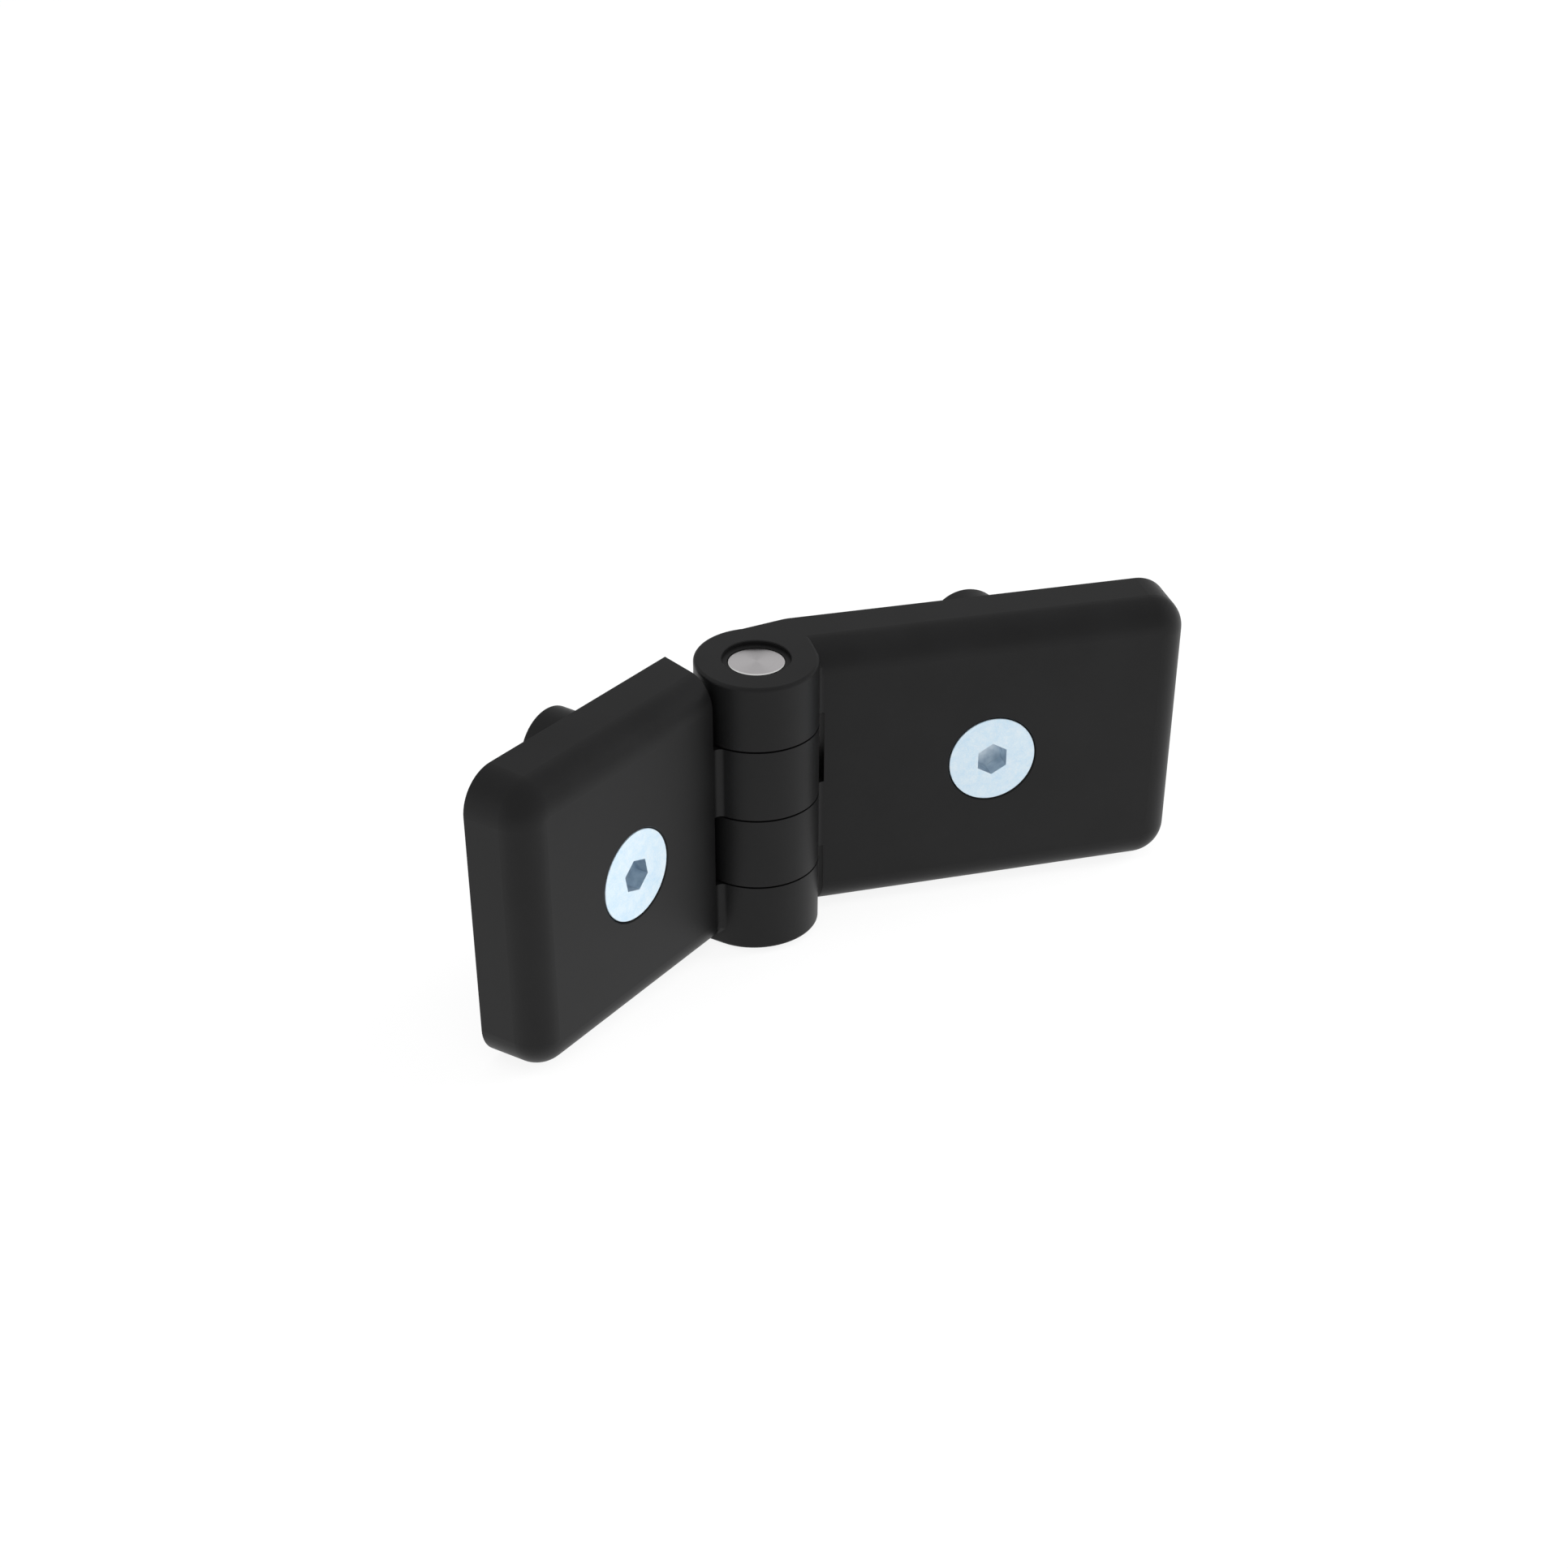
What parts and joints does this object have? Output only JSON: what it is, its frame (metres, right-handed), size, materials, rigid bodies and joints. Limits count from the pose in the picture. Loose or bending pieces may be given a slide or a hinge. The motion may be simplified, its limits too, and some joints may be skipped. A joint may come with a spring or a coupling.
{
  "type": "hinge",
  "caption": "Black plastic butt hinge with a long and a short leaf, countersunk screws and locating pegs for slotted profiles",
  "frame": {"origin": "where the long leaf's screw axis crosses its back face, at mid height, midway between its two pegs", "axes": "+X along the long leaf away from the hinge axis, +Y out of the long leaf's back face, +Z along the hinge axis"},
  "size_m": [0.1003, 0.0471, 0.04],
  "materials": {
    "black_plastic": "satin moulded",
    "pin_steel": "turned",
    "zinc_steel": "zinc plated"
  },
  "bodies": {
    "long_leaf_body": {"long_leaf": "black_plastic", "hinge_pin": "pin_steel", "long_leaf_screw": "zinc_steel"},
    "short_leaf_body": {"short_leaf": "black_plastic", "short_leaf_screw": "zinc_steel"}
  },
  "joints": [
    {"name": "hinge", "type": "hinge", "parent": "long_leaf_body", "child": "short_leaf_body", "pos_m": [-0.0325, -0.009, 0], "axis": [0, 0, 1], "range_deg": [-110, 140]}
  ]
}
